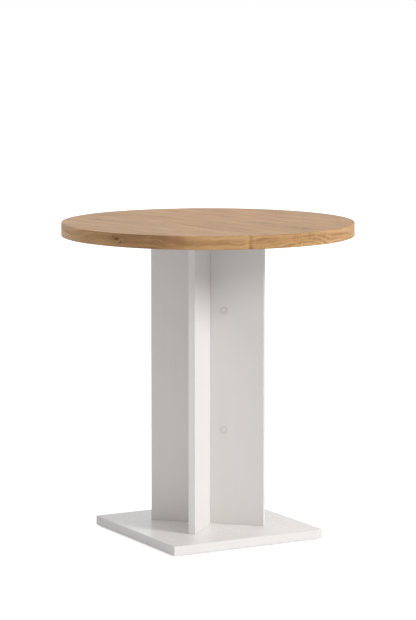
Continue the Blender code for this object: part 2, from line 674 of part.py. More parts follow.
def make_bracket_screws():
    """Pan-head screws with a cross recess: two up into the top and two into each panel."""
    head = SCREW_HEAD_DIAMETER / 2
    shank = SCREW_DIAMETER / 2
    flat = SCREW_HEAD_FLAT_DIAMETER / 2
    profile = [(0.0, SCREW_HEAD_HEIGHT), (flat, SCREW_HEAD_HEIGHT), (head, SCREW_HEAD_RIM),
               (head, 0.0), (shank, 0.0),
               (shank, SCREW_TIP - SCREW_LENGTH + TOUCH_GAP),
               (0.0, TOUCH_GAP - SCREW_LENGTH)]
    screw = turned("bracket_screw", profile, SMALL_SIDES, ZINC)
    recess = outline_mesh("recess", cross_outline(SCREW_RECESS_SPAN, SCREW_RECESS_WIDTH),
                          SCREW_HEAD_HEIGHT - SCREW_RECESS_DEPTH, SCREW_HEAD_HEIGHT + OVERSHOOT)
    cut(screw, add_cutter("recess", recess))
    mesh = finished_mesh(screw)
    seat = BRACKET_STEEL + TOUCH_GAP
    places = {}
    for arm, corner in bracket_places().items():
        for hole, along in BRACKET_HOLES.items():
            up = frame((1.0, 0.0, 0.0), (0.0, 0.0, -1.0), (0.0, along, -seat))
            side = frame((1.0, 0.0, 0.0), (0.0, 1.0, 0.0), (0.0, seat, -along))
            places[f"{arm}_top_screw_{hole}"] = corner @ up
            places[f"{arm}_panel_screw_{hole}"] = corner @ side
    add_copies(mesh, places)


clear_scene()
TABLE = collection("round_pedestal_table")
CUTTERS = collection("cutters")
PEDESTAL_AXIS = bpy.data.objects.new("pedestal_axis", None)
TABLE.objects.link(PEDESTAL_AXIS)
PEDESTAL_AXIS.rotation_euler = (0.0, 0.0, CROSS_TURN)

OAK_DECOR = material("oak_decor", (0.50, 0.32, 0.20), 0.55)
OAK_BAND = material("oak_band", (0.46, 0.27, 0.15), 0.55)
WHITE_BOARD = material("white_board", (0.80, 0.79, 0.78), 0.40)
WHITE_BAND = material("white_band", (0.80, 0.79, 0.78), 0.35)
CAP_PLASTIC = material("cap_plastic", (0.78, 0.77, 0.76), 0.40)
GLIDE_PLASTIC = material("glide_plastic", (0.70, 0.70, 0.69), 0.50)
BEECH = material("beech", (0.62, 0.44, 0.28), 0.65)
ZINC = material("zinc", (0.62, 0.63, 0.65), 0.35, 1.0)
STEEL = material("steel", (0.56, 0.57, 0.58), 0.30, 1.0)

make_tabletop()
make_spine()
make_wings()
make_base()
make_glides()
make_cam_fittings()
make_dowels()
make_base_screws()
make_brackets()
make_bracket_screws()
bpy.context.view_layer.update()
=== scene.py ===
"""Looks of a round pedestal table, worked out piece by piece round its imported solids.

The order is the order of assembly: base plate, glides, cross of panels, dowels, metal fittings,
caps, tabletop and its edging, and last the studio. Lengths are metres in the table's frame, +Z up,
origin on the floor under the centre. The cross stands at 45 degrees to the base plate.
"""

import math

import bmesh
import bpy
import numpy as np
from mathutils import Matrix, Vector


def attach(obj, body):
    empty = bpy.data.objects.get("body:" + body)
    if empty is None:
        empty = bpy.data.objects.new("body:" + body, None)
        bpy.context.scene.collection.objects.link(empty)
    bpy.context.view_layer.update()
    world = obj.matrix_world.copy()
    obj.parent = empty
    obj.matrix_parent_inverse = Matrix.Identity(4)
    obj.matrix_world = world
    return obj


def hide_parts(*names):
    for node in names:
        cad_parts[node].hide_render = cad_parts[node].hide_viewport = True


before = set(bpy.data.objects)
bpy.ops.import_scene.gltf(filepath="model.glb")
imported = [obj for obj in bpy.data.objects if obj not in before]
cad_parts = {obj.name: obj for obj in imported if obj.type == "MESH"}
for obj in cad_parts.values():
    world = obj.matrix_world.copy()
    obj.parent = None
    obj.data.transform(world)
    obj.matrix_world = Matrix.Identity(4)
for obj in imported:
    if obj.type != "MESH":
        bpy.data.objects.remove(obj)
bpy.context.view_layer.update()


# ---------------------------------------------------------------------------------------------
# Base plate. A 22 mm chipboard square faced with white melamine, its pores pressed along one
# way of the sheet, with screws let in from below and 0.8 mm ABS bands glued to its four sides.
# The front and back bands run the full width, and the side bands stop between them.

BASE_HALF = 0.200
BASE_LOW = 0.003
BASE_HIGH = 0.025
BAND_THICKNESS = 0.0008
BAND_ARRIS = 0.0005
BAND_LINING = 0.0006
BAND_GLUE_LINE = 0.0001
ARC_STEPS = 4
MERGE_DISTANCE = 1e-7
SHARP_ANGLE = math.radians(40.0)
ALONG_X = (0.0, 0.0, 0.0)
ALONG_Y = (0.0, 0.0, math.radians(-90.0))
ALONG_Z = (0.0, math.radians(90.0), 0.0)
WHITE = (0.832, 0.804, 0.783, 1.0)
WHITE_PORE = (0.740, 0.714, 0.694, 1.0)
# Painted light: the base plate's white is a lighter copy of the panels' white, standing in for the
# brighter light on its top.
BASE_WHITE_PAINTED_LIGHT = (0.868, 0.839, 0.817, 1.0)
BAND_WHITE = (0.844, 0.820, 0.800, 1.0)
HANDLED_WHITE = (0.70, 0.68, 0.66, 1.0)
SHEET_RELIEF = 0.00002


def node(tree, kind, sockets=None, **settings):
    """Adds one shader node. Each of its sockets takes a fixed value or the output it is given."""
    made = tree.nodes.new("ShaderNode" + kind)
    for setting, value in settings.items():
        setattr(made, setting, value)
    for socket, value in (sockets or {}).items():
        if isinstance(value, bpy.types.NodeSocket):
            tree.links.new(value, made.inputs[socket])
        else:
            made.inputs[socket].default_value = value
    return made


def effect(name, takes, gives):
    """Opens a node group with named sockets. takes maps an input to its first value."""
    kinds = {float: "NodeSocketFloat", tuple: "NodeSocketVector", list: "NodeSocketColor"}
    tree = bpy.data.node_groups.new(name, "ShaderNodeTree")
    for label, value in takes.items():
        socket = tree.interface.new_socket(label, in_out="INPUT", socket_type=kinds[type(value)])
        socket.default_value = value
    for label, kind in gives.items():
        tree.interface.new_socket(label, in_out="OUTPUT", socket_type=kinds[kind])
    taken = tree.nodes.new("NodeGroupInput").outputs
    given = tree.nodes.new("NodeGroupOutput").inputs
    return tree, taken, given


def give(tree, given, **outputs):
    """Joins a group's results to its named outputs."""
    for label, output in outputs.items():
        tree.links.new(output, given[label])


def arithmetic(tree, operation, first, second=0.0, clamp=False):
    """One sum, product or other operation on two values or outputs."""
    made = node(tree, "Math", {0: first, 1: second}, operation=operation, use_clamp=clamp)
    return made.outputs[0]


def stretched(tree, place, scale):
    """A place with each of its three measures multiplied, so that a pattern is drawn out."""
    return node(tree, "VectorMath", {0: place, 1: scale}, operation="MULTIPLY").outputs[0]


def speckle(tree, place, scale, detail=2.0, roughness=0.5, distortion=0.0):
    """Smooth noise from 0 to 1, drawn out by scale."""
    settings = {"Vector": stretched(tree, place, scale), "Scale": 1.0, "Detail": detail,
                "Roughness": roughness, "Distortion": distortion}
    return node(tree, "TexNoise", settings).outputs["Fac"]


def between(tree, value, low, high, start=0.0, end=1.0, smooth=True):
    """A value from low to high spread from start to end, held outside those."""
    kind = "SMOOTHSTEP" if smooth else "LINEAR"
    sockets = {"Value": value, "From Min": low, "From Max": high, "To Min": start, "To Max": end}
    return node(tree, "MapRange", sockets, interpolation_type=kind, clamp=True).outputs["Result"]


def mixed(tree, share, first, second, blend="MIX"):
    """Two colours blended by a share."""
    made = node(tree, "Mix", data_type="RGBA", blend_type=blend)
    for socket, value in ((0, share), (6, first), (7, second)):
        if isinstance(value, bpy.types.NodeSocket):
            tree.links.new(value, made.inputs[socket])
        else:
            made.inputs[socket].default_value = value
    return made.outputs[2]


def placed(tree, turn=ALONG_X):
    """Where a point is on the object, turned so that the pattern's length runs along X."""
    place = node(tree, "TexCoord").outputs["Object"]
    return node(tree, "Mapping", {"Vector": place, "Rotation": turn}).outputs["Vector"]


def group_in(tree, name, **sockets):
    """Places a node group in a tree, with its inputs by name."""
    made = node(tree, "Group", node_tree=bpy.data.node_groups[name])
    for label, value in sockets.items():
        socket = made.inputs[label.replace("_", " ")]
        if isinstance(value, bpy.types.NodeSocket):
            tree.links.new(value, socket)
        else:
            socket.default_value = value
    return made.outputs


def material(name, **fixed):
    """A new material and its Principled shader, whose fixed sockets are set by name."""
    made = bpy.data.materials.new(name)
    made.use_nodes = True
    shader = made.node_tree.nodes["Principled BSDF"]
    for label, value in fixed.items():
        shader.inputs[label.replace("_", " ")].default_value = value
    return made, made.node_tree, shader


def dress(tree, shader, colour, roughness, height, relief, strength=1.0):
    """Joins colour and roughness to the shader, and height through a bump relief metres deep."""
    tree.links.new(colour, shader.inputs["Base Color"])
    tree.links.new(roughness, shader.inputs["Roughness"])
    sockets = {"Height": height, "Distance": relief, "Strength": strength}
    tree.links.new(node(tree, "Bump", sockets).outputs["Normal"], shader.inputs["Normal"])


def melamine_sheet():
    """Pressed melamine: short closed pores along X, long faint streaks and a slow mottle."""
    takes = {"Place": (0.0, 0.0, 0.0), "White": list(WHITE), "Pore": list(WHITE_PORE),
             "Streaks": 0.5, "Shine": 0.34}
    gives = {"Colour": list, "Roughness": float, "Height": float}
    tree, taken, given = effect("melamine_sheet", takes, gives)
    place = taken["Place"]
    streak = speckle(tree, place, (1.6, 230.0, 230.0), detail=3.0, roughness=0.6)
    thread = speckle(tree, place, (9.0, 620.0, 620.0), detail=2.0)
    mottle = speckle(tree, place, (5.0, 7.0, 7.0), detail=2.0)
    pore = between(tree, speckle(tree, place, (70.0, 1500.0, 1500.0), detail=1.0), 0.60, 0.72)
    lines = arithmetic(tree, "MULTIPLY", between(tree, streak, 0.46, 0.74), taken["Streaks"])
    threads = arithmetic(tree, "MULTIPLY", between(tree, thread, 0.55, 0.80), taken["Streaks"])
    share = arithmetic(tree, "ADD", arithmetic(tree, "MULTIPLY", lines, 0.34),
                       arithmetic(tree, "MULTIPLY", threads, 0.22))
    share = arithmetic(tree, "ADD", share, arithmetic(tree, "MULTIPLY", pore, 0.10))
    share = arithmetic(tree, "ADD", share, between(tree, mottle, 0.3, 0.7, 0.0, 0.05), clamp=True)
    rough = arithmetic(tree, "ADD", taken["Shine"], between(tree, mottle, 0.3, 0.7, -0.02, 0.04))
    rough = arithmetic(tree, "ADD", rough, arithmetic(tree, "MULTIPLY", pore, 0.12))
    height = arithmetic(tree, "SUBTRACT", arithmetic(tree, "MULTIPLY", thread, 0.35), pore)
    give(tree, given, Colour=mixed(tree, share, taken["White"], taken["Pore"]),
         Roughness=rough, Height=height)


def handled_arris():
    """Where an arris has been brushed by hands and cloths: the arris attribute, broken up."""
    tree, taken, given = effect("handled_arris", {"Place": (0.0, 0.0, 0.0), "Use": 0.5},
                                {"Mask": float})
    arris = node(tree, "Attribute", attribute_name="arris").outputs["Fac"]
    patchy = between(tree, speckle(tree, taken["Place"], (60.0,) * 3, detail=4.0), 0.42, 0.66)
    mask = arithmetic(tree, "MULTIPLY", arithmetic(tree, "MULTIPLY", arris, patchy), taken["Use"])
    give(tree, given, Mask=mask)


def melamine(name, turn, shine=0.34, streaks=0.5, white=WHITE):
    """White melamine board with its pores along one way of the sheet."""
    made, tree, shader = material(name, Specular_IOR_Level=0.45, IOR=1.5)
    look = group_in(tree, "melamine_sheet", Place=placed(tree, turn), White=white,
                    Pore=WHITE_PORE, Streaks=streaks, Shine=shine)
    dress(tree, shader, look["Colour"], look["Roughness"], look["Height"], SHEET_RELIEF, 0.35)
    return made


def white_edging(name, turn, streaks=1.0):
    """White ABS band: printed like the board, and a little duller where hands pass its arris."""
    made, tree, shader = material(name, Specular_IOR_Level=0.45, IOR=1.5)
    place = placed(tree, turn)
    look = group_in(tree, "melamine_sheet", Place=place, White=BAND_WHITE, Pore=WHITE_PORE,
                    Streaks=streaks, Shine=0.38)
    worn = group_in(tree, "handled_arris", Place=place, Use=0.4)["Mask"]
    colour = mixed(tree, worn, look["Colour"], HANDLED_WHITE)
    rough = arithmetic(tree, "ADD", look["Roughness"], arithmetic(tree, "MULTIPLY", worn, 0.2))
    dress(tree, shader, colour, rough, look["Height"], SHEET_RELIEF, 0.35)
    return made


def quarter_round(across, out, radius, start):
    """Points on a quarter circle about (across, out), from the angle start in degrees."""
    angles = np.radians(start + np.linspace(0.0, 90.0, ARC_STEPS + 1))
    return np.column_stack([across + radius * np.cos(angles), out + radius * np.sin(angles)])


def skin(rings, looped=False):
    """Quads from each ring of points to the next. The end rings are closed with one face each,
    or joined to each other when the path is a loop."""
    index = np.arange(rings.shape[0] * rings.shape[1]).reshape(rings.shape[:2])
    here = index if looped else index[:-1]
    ahead = np.roll(index, -1, axis=0) if looped else index[1:]
    quads = np.stack([here, np.roll(here, -1, axis=1), np.roll(ahead, -1, axis=1), ahead], axis=-1)
    faces = quads.reshape(-1, 4).tolist()
    if not looped:
        faces += [index[0, ::-1].tolist(), index[-1].tolist()]
    return rings.reshape(-1, 3), faces


def piece(name, points, faces, finish, attributes=None):
    """A mesh object at the origin with its poles merged, its faces outwards and its flats flat."""
    mesh = bpy.data.meshes.new(name)
    mesh.from_pydata(points.tolist(), [], faces)
    for label, values in (attributes or {}).items():
        mesh.attributes.new(label, "FLOAT", "POINT").data.foreach_set("value", values)
    shell = bmesh.new()
    shell.from_mesh(mesh)
    bmesh.ops.remove_doubles(shell, verts=shell.verts, dist=MERGE_DISTANCE)
    bmesh.ops.recalc_face_normals(shell, faces=shell.faces)
    shell.to_mesh(mesh)
    shell.free()
    mesh.shade_smooth()
    mesh.set_sharp_from_angle(angle=SHARP_ANGLE)
    mesh.materials.append(finish)
    obj = bpy.data.objects.new(name, mesh)
    bpy.context.scene.collection.objects.link(obj)
    flats = obj.modifiers.new("flats", "WEIGHTED_NORMAL")
    flats.keep_sharp = True
    return obj


def edge_band(name, start, end, outward, width, finish):
    """A band from start to end, points on the middle of its glued face.

    The profile is a strip whose two outer arrises are quarter rounds. It is carried along a
    straight path, and at each end its outer face draws in by arris * (1 - cos a) as the path
    walks the last arris * (1 - sin a), with a going from a right angle to none.
    """
    start, end, outward = (np.array(v, float) for v in (start, end, outward))
    length = np.linalg.norm(end - start)
    along = (end - start) / length
    side = np.cross(outward, along)
    half = width / 2
    shoulder = BAND_THICKNESS - BAND_ARRIS
    lining = half - BAND_ARRIS - BAND_LINING
    near = quarter_round(-half + BAND_ARRIS, shoulder, BAND_ARRIS, 90.0)[::-1]
    far = quarter_round(half - BAND_ARRIS, shoulder, BAND_ARRIS, 0.0)[::-1]
    face = [(-lining, BAND_THICKNESS), (lining, BAND_THICKNESS)]
    profile = np.concatenate([[(-half, -BAND_GLUE_LINE)], near, face, far,
                              [(half, -BAND_GLUE_LINE)]])
    turns = np.radians(np.linspace(90.0, 0.0, ARC_STEPS + 1))
    walked = np.append(BAND_ARRIS * (1.0 - np.sin(turns)), BAND_ARRIS + BAND_LINING)
    drawn = np.append(BAND_ARRIS * (1.0 - np.cos(turns)), 0.0)
    stations = np.concatenate([walked, length - walked[::-1]])
    draw = np.concatenate([drawn, drawn[::-1]])
    out = np.minimum(profile[None, :, 1], BAND_THICKNESS - draw[:, None])
    rings = (start + stations[:, None, None] * along + out[..., None] * outward
             + profile[None, :, 0, None] * side)
    rounded = (profile[:, 1] > 0.0) & (np.abs(profile[:, 0]) > lining + MERGE_DISTANCE)
    arris = np.maximum(rounded[None, :], draw[:, None] > 0.0).astype(float)
    points, faces = skin(rings)
    return piece(name, points, faces, finish, {"arris": arris.ravel()})


melamine_sheet()
handled_arris()
base_height = BASE_HIGH - BASE_LOW
base_middle = (BASE_HIGH + BASE_LOW) / 2
base_face = BASE_HALF - BAND_THICKNESS
side_reach = base_face - BAND_GLUE_LINE
edging_along_x = white_edging("white_edging_along_x", ALONG_X, 1.7)
edging_along_y = white_edging("white_edging_along_y", ALONG_Y, 1.7)
# The base plate takes the lighter copy of the white, which is painted light.
base_finish = melamine("white_melamine_base", ALONG_X, 0.18, 0.6, BASE_WHITE_PAINTED_LIGHT)
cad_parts["base_plate"].data.materials[0] = base_finish
for label, start, end, outward, finish in (
        ("front", (-BASE_HALF, -base_face), (BASE_HALF, -base_face), (0, -1), edging_along_x),
        ("back", (BASE_HALF, base_face), (-BASE_HALF, base_face), (0, 1), edging_along_x),
        ("right", (base_face, -side_reach), (base_face, side_reach), (1, 0), edging_along_y),
        ("left", (-base_face, side_reach), (-base_face, -side_reach), (-1, 0), edging_along_y)):
    strip = edge_band(f"base_{label}_edging", (*start, base_middle), (*end, base_middle),
                      (*outward, 0.0), base_height, finish)
    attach(strip, "table")
    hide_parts(f"base_{label}_edge_band")


# ---------------------------------------------------------------------------------------------
# Glides. Four low buttons of grey polyethylene, moulded with a peg that is tapped into the base
# plate from below. Their soles are slightly domed and pick up fine scratches from the floor.

GLIDE_REACH = 0.165
GLIDE_RADIUS = 0.011
GLIDE_SHOULDER = 0.0027
GLIDE_ROUND = 0.0010
GLIDE_PEG_RADIUS = 0.0025
GLIDE_PEG_TIP = 0.0137
GLIDE_DOME = 0.0003
SOLE_RINGS = 7
GLIDE_SIDES = 64
UP = (0.0, 0.0, 1.0)
GLIDE_GREY = (0.52, 0.51, 0.50, 1.0)
GLIDE_SCRATCH = (0.36, 0.35, 0.33, 1.0)
GLIDE_RELIEF = 0.00003
MELT_SHADE = (0.86, 0.85, 0.84, 1.0)


def moulded_skin():
    """Spark-eroded mould texture: a fine pebble, with a slow change of tone from the melt."""
    takes = {"Place": (0.0, 0.0, 0.0), "Tone": list(GLIDE_GREY), "Shine": 0.4}
    gives = {"Colour": list, "Roughness": float, "Height": float}
    tree, taken, given = effect("moulded_skin", takes, gives)
    pebble = node(tree, "TexVoronoi", {"Vector": taken["Place"], "Scale": 2600.0},
                  feature="SMOOTH_F1").outputs["Distance"]
    melt = speckle(tree, taken["Place"], (140.0, 140.0, 140.0), detail=3.0)
    dust = between(tree, speckle(tree, taken["Place"], (900.0,) * 3, detail=2.0), 0.62, 0.78)
    darker = mixed(tree, 1.0, taken["Tone"], MELT_SHADE, "MULTIPLY")
    share = arithmetic(tree, "ADD", between(tree, melt, 0.35, 0.65, 0.0, 0.35),
                       arithmetic(tree, "MULTIPLY", dust, 0.35), clamp=True)
    rough = arithmetic(tree, "ADD", taken["Shine"], between(tree, melt, 0.3, 0.7, -0.04, 0.06))
    give(tree, given, Colour=mixed(tree, share, taken["Tone"], darker), Roughness=rough,
         Height=pebble)


def turned(profile, sides, origin, axis):
    """Points (i, j): profile point j at its radius and height, turned i / sides of a turn
    about the axis through the origin, which is a closed loop of rings."""
    axis = np.array(axis, float)
    first = np.cross(axis, UP if abs(axis[2]) < 0.9 else (1.0, 0.0, 0.0))
    first /= np.linalg.norm(first)
    second = np.cross(axis, first)
    angles = np.linspace(0.0, 2 * np.pi, sides, endpoint=False)
    spoke = np.cos(angles)[:, None] * first + np.sin(angles)[:, None] * second
    radius, height = np.array(profile, float).T
    return origin + radius[None, :, None] * spoke[:, None, :] + height[None, :, None] * axis


def turned_piece(name, profile, sides, origin, axis, finish):
    """A closed profile of (radius, height) points, from pole to pole, turned about an axis."""
    points, faces = skin(turned(profile, sides, np.array(origin, float), axis), looped=True)
    return piece(name, points, faces, finish)


moulded_skin()
glide_finish, tree, shader = material("glide_plastic_grey", Specular_IOR_Level=0.5, IOR=1.49)
place = placed(tree)
look = group_in(tree, "moulded_skin", Place=place, Tone=GLIDE_GREY, Shine=0.42)
scratch = between(tree, speckle(tree, place, (2600.0, 90.0, 90.0), detail=2.0), 0.60, 0.72)
colour = mixed(tree, arithmetic(tree, "MULTIPLY", scratch, 0.3), look["Colour"],
               GLIDE_SCRATCH)
height = arithmetic(tree, "SUBTRACT", arithmetic(tree, "MULTIPLY", look["Height"], 0.5), scratch)
dress(tree, shader, colour, look["Roughness"], height, GLIDE_RELIEF, 0.4)

sole = np.linspace(0.0, GLIDE_RADIUS - GLIDE_ROUND, SOLE_RINGS)
dome = np.column_stack([sole, GLIDE_DOME * (sole / sole[-1]) ** 2])
rim = quarter_round(GLIDE_RADIUS - GLIDE_ROUND, GLIDE_DOME + GLIDE_ROUND, GLIDE_ROUND, -90.0)
head = quarter_round(GLIDE_RADIUS - GLIDE_ROUND / 2, GLIDE_SHOULDER - GLIDE_ROUND / 2,
                     GLIDE_ROUND / 2, 0.0)
peg = [(GLIDE_PEG_RADIUS, GLIDE_SHOULDER), (GLIDE_PEG_RADIUS, GLIDE_PEG_TIP - GLIDE_PEG_RADIUS),
       (GLIDE_PEG_RADIUS / 2, GLIDE_PEG_TIP), (0.0, GLIDE_PEG_TIP)]
glide_profile = np.concatenate([dome, rim[1:], head, peg])
for label, x_way, y_way in (("front_left", -1, -1), ("front_right", 1, -1),
                            ("back_left", -1, 1), ("back_right", 1, 1)):
    button = turned_piece(f"glide_{label}_button", glide_profile, GLIDE_SIDES,
                          (x_way * GLIDE_REACH, y_way * GLIDE_REACH, 0.0), UP, glide_finish)
    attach(button, "table")
    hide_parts(f"glide_{label}")


# ---------------------------------------------------------------------------------------------
# Cross of panels. A full-width spine and two wings that butt against its faces, all 16 mm
# melamine chipboard with the pores running up. The three boards keep their drilled solids, and
# 0.8 mm bands, rounded by the trimming cutter, close the four upright edges that show.

PANEL_LOW = 0.0253
PANEL_HIGH = 0.7210
PANEL_THICKNESS = 0.0160
ARM_REACH = 0.1400
SLANT = math.sqrt(0.5)
RIGHT_WAY = np.array((SLANT, -SLANT, 0.0))
BACK_WAY = np.array((SLANT, SLANT, 0.0))

panel_finish = melamine("white_melamine_upright", ALONG_Z, 0.36, 0.35)
for label in ("spine_panel", "left_wing_panel", "right_wing_panel"):
    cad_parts[label].data.materials[0] = panel_finish

edging_upright = white_edging("white_edging_upright", ALONG_Z, 0.4)
for label, outward in (("right_wing", RIGHT_WAY), ("left_wing", -RIGHT_WAY),
                       ("spine_front", -BACK_WAY), ("spine_back", BACK_WAY)):
    foot = outward * (ARM_REACH - BAND_THICKNESS)
    strip = edge_band(f"{label}_edging", foot + (0.0, 0.0, PANEL_LOW),
                      foot + (0.0, 0.0, PANEL_HIGH), outward, PANEL_THICKNESS, edging_upright)
    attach(strip, "table")
    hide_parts(f"{label}_edge_band")


# ---------------------------------------------------------------------------------------------
# Dowels. Fluted beech pins, glued into the base plate and the panels, and across the spine.
# They keep their solids, in pale pinkish beech with the short brown flecks of its rays.

BEECH = (0.62, 0.42, 0.25, 1.0)
BEECH_DARK = (0.44, 0.27, 0.15, 1.0)
BEECH_RELIEF = 0.00005
ACROSS_SPINE = (0.0, 0.0, math.radians(45.0))


def beech(name, turn):
    """Beech along X: fine lines, ray flecks a few millimetres long, and a dull raw surface."""
    made, tree, shader = material(name, Specular_IOR_Level=0.3)
    place = placed(tree, turn)
    lines = speckle(tree, place, (30.0, 900.0, 900.0), detail=3.0)
    fleck = between(tree, speckle(tree, place, (240.0, 1400.0, 1400.0), detail=1.0), 0.62, 0.70)
    share = arithmetic(tree, "ADD", between(tree, lines, 0.3, 0.7, 0.0, 0.5),
                       arithmetic(tree, "MULTIPLY", fleck, 0.5), clamp=True)
    rough = between(tree, lines, 0.3, 0.7, 0.62, 0.78)
    dress(tree, shader, mixed(tree, share, BEECH, BEECH_DARK), rough, lines, BEECH_RELIEF, 0.5)
    return made


beech_upright = beech("beech_upright", ALONG_Z)
beech_across = beech("beech_across", ACROSS_SPINE)
for label in ("right_wing", "spine_back", "left_wing", "spine_front"):
    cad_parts[f"{label}_base_dowel"].data.materials[0] = beech_upright
for label in ("lower", "upper"):
    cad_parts[f"{label}_wing_dowel"].data.materials[0] = beech_across


# ---------------------------------------------------------------------------------------------
# Steel and zinc. Base screws and cam bolts are steel with a thin bright plating; the cams are
# die-cast zinc, duller and pitted; angles and their screws are pressed steel in blue zinc plate.
# All of them keep their solids, and differ in tone, grain and polish.

STEEL_TONE = (0.60, 0.60, 0.60, 1.0)
CAST_TONE = (0.50, 0.50, 0.51, 1.0)
PLATE_TONE = (0.62, 0.64, 0.67, 1.0)
CLOUD_SHADE = (0.62, 0.62, 0.63, 1.0)
METAL_RELIEF = 0.00004


def plated_metal():
    """Metal skin: a cloudy plating, drawn lines along X, and small pits."""
    takes = {"Place": (0.0, 0.0, 0.0), "Tone": list(STEEL_TONE), "Polish": 0.3, "Pits": 0.3}
    gives = {"Colour": list, "Roughness": float, "Height": float}
    tree, taken, given = effect("plated_metal", takes, gives)
    place = taken["Place"]
    cloud = speckle(tree, place, (160.0, 160.0, 160.0), detail=4.0, roughness=0.6)
    drawn = speckle(tree, place, (120.0, 2400.0, 2400.0), detail=2.0)
    pit = between(tree, speckle(tree, place, (1500.0,) * 3, detail=2.0), 0.60, 0.74)
    pit = arithmetic(tree, "MULTIPLY", pit, taken["Pits"])
    dull = mixed(tree, 1.0, taken["Tone"], CLOUD_SHADE, "MULTIPLY")
    share = arithmetic(tree, "ADD", between(tree, cloud, 0.35, 0.7, 0.0, 0.6), pit, clamp=True)
    rough = arithmetic(tree, "ADD", taken["Polish"], between(tree, cloud, 0.3, 0.7, -0.05, 0.12))
    rough = arithmetic(tree, "ADD", rough, arithmetic(tree, "MULTIPLY", pit, 0.3))
    height = arithmetic(tree, "SUBTRACT", arithmetic(tree, "MULTIPLY", drawn, 0.3), pit)
    give(tree, given, Colour=mixed(tree, share, taken["Tone"], dull), Roughness=rough,
         Height=height)


def metal(name, turn, tone, polish, pits):
    """A plated or cast metal, drawn along one way."""
    made, tree, shader = material(name, Metallic=1.0)
    look = group_in(tree, "plated_metal", Place=placed(tree, turn), Tone=tone, Polish=polish,
                    Pits=pits)
    dress(tree, shader, look["Colour"], look["Roughness"], look["Height"], METAL_RELIEF, 0.5)
    return made


plated_metal()
steel_upright = metal("bright_steel_upright", ALONG_Z, STEEL_TONE, 0.28, 0.2)
steel_across = metal("bright_steel_across", ACROSS_SPINE, STEEL_TONE, 0.25, 0.2)
cast_zinc = metal("cast_zinc", ALONG_Z, CAST_TONE, 0.42, 0.9)
zinc_plate = metal("blue_zinc_plate", ALONG_Z, PLATE_TONE, 0.30, 0.3)
for label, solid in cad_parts.items():
    if label.endswith("_base_screw"):
        solid.data.materials[0] = steel_upright
    elif label.endswith("_cam_bolt"):
        solid.data.materials[0] = steel_across
    elif label.endswith("_cam"):
        solid.data.materials[0] = cast_zinc
    elif "_bracket" in label or "_screw_" in label:
        solid.data.materials[0] = zinc_plate


# ---------------------------------------------------------------------------------------------
# Cam caps. White moulded buttons that push into the cams' drive holes and hide them. Each has a
# flat middle inside a rounded groove and a thin rim; the groove is painted darker, partly as
# dust and partly as painted shade. The right wing's pair faces the front and the left wing's
# pair the back.

CAP_RADIUS = 0.0085
CAP_BACK = 0.0003
CAP_FACE = 0.0013
CAP_ROUND = 0.0002
CAP_RIM = 0.0083
CAP_MIDDLE = 0.0066
CAP_GROOVE = 0.00065
CAP_GROOVE_STEPS = 9
CAP_PEG_RADIUS = 0.0017
CAP_PEG_TIP = -0.0027
CAP_SIDES = 96
CAP_ALONG_WING = 0.042
CAP_LEVELS = {"lower": 0.253, "upper": 0.541}
CAP_WHITE = (0.826, 0.800, 0.780, 1.0)
# Painted shade: the groove's darker colour stands partly for dust and partly for the shade in the
# groove.
GROOVE_DUST_AND_SHADE = (0.44, 0.425, 0.41, 1.0)

cap_finish, tree, shader = material("cap_plastic_white", Specular_IOR_Level=0.5, IOR=1.49)
place = placed(tree)
look = group_in(tree, "moulded_skin", Place=place, Tone=CAP_WHITE, Shine=0.36)
# The groove is darkened by its depth, in patches: partly dust, partly painted shade.
groove = node(tree, "Attribute", attribute_name="groove").outputs["Fac"]
patchy = between(tree, speckle(tree, place, (700.0,) * 3, detail=3.0), 0.25, 0.7, 0.6, 1.0)
colour = mixed(tree, arithmetic(tree, "MULTIPLY", groove, patchy), look["Colour"], GROOVE_DUST_AND_SHADE)
dress(tree, shader, colour, look["Roughness"], look["Height"], 0.00002, 0.3)


def cap_profile():
    """Half section of a cap as (radius, height) points, from the peg's tip to the face's
    middle, and how dark each is painted: the groove's depth is CAP_GROOVE times half of (1 + cos)
    across its width, and its darkening, partly dust and partly painted shade, is as deep as it is."""
    peg = [(0.0, CAP_PEG_TIP), (CAP_PEG_RADIUS - CAP_ROUND, CAP_PEG_TIP),
           (CAP_PEG_RADIUS, CAP_PEG_TIP + CAP_ROUND), (CAP_PEG_RADIUS, CAP_BACK),
           (CAP_RADIUS, CAP_BACK)]
    rim = quarter_round(CAP_RADIUS - CAP_ROUND, CAP_FACE - CAP_ROUND, CAP_ROUND, 0.0)
    share = np.linspace(1.0, -1.0, CAP_GROOVE_STEPS)
    radius = (CAP_RIM + CAP_MIDDLE) / 2 + share * (CAP_RIM - CAP_MIDDLE) / 2
    depth = (1.0 + np.cos(np.pi * share)) / 2
    valley = np.column_stack([radius, CAP_FACE - CAP_GROOVE * depth])
    start = len(peg) + len(rim)
    profile = np.concatenate([peg, rim, valley, [(0.0, CAP_FACE)]])
    dust_and_shade = np.zeros(len(profile))
    dust_and_shade[start:start + CAP_GROOVE_STEPS] = depth
    return profile, dust_and_shade


profile, dust_and_shade = cap_profile()
for level, height in CAP_LEVELS.items():
    for side, way in (("left", -1.0), ("right", 1.0)):
        seat = way * (RIGHT_WAY * CAP_ALONG_WING - BACK_WAY * PANEL_THICKNESS / 2)
        rings = turned(profile, CAP_SIDES, seat + (0.0, 0.0, height), -way * BACK_WAY)
        points, faces = skin(rings, looped=True)
        cap = piece(f"{level}_{side}_cap_disc", points, faces, cap_finish,
                    {"groove": np.tile(dust_and_shade, CAP_SIDES)})
        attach(cap, f"{level}_{side}_cam_cap")
        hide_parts(f"{level}_{side}_cam_cap")


# ---------------------------------------------------------------------------------------------
# Tabletop. A 32 mm round chipboard faced above with oak-decor melamine, planks of knotty oak with
# the pores pressed in along the grain, which runs front to back, and below with grey backing.

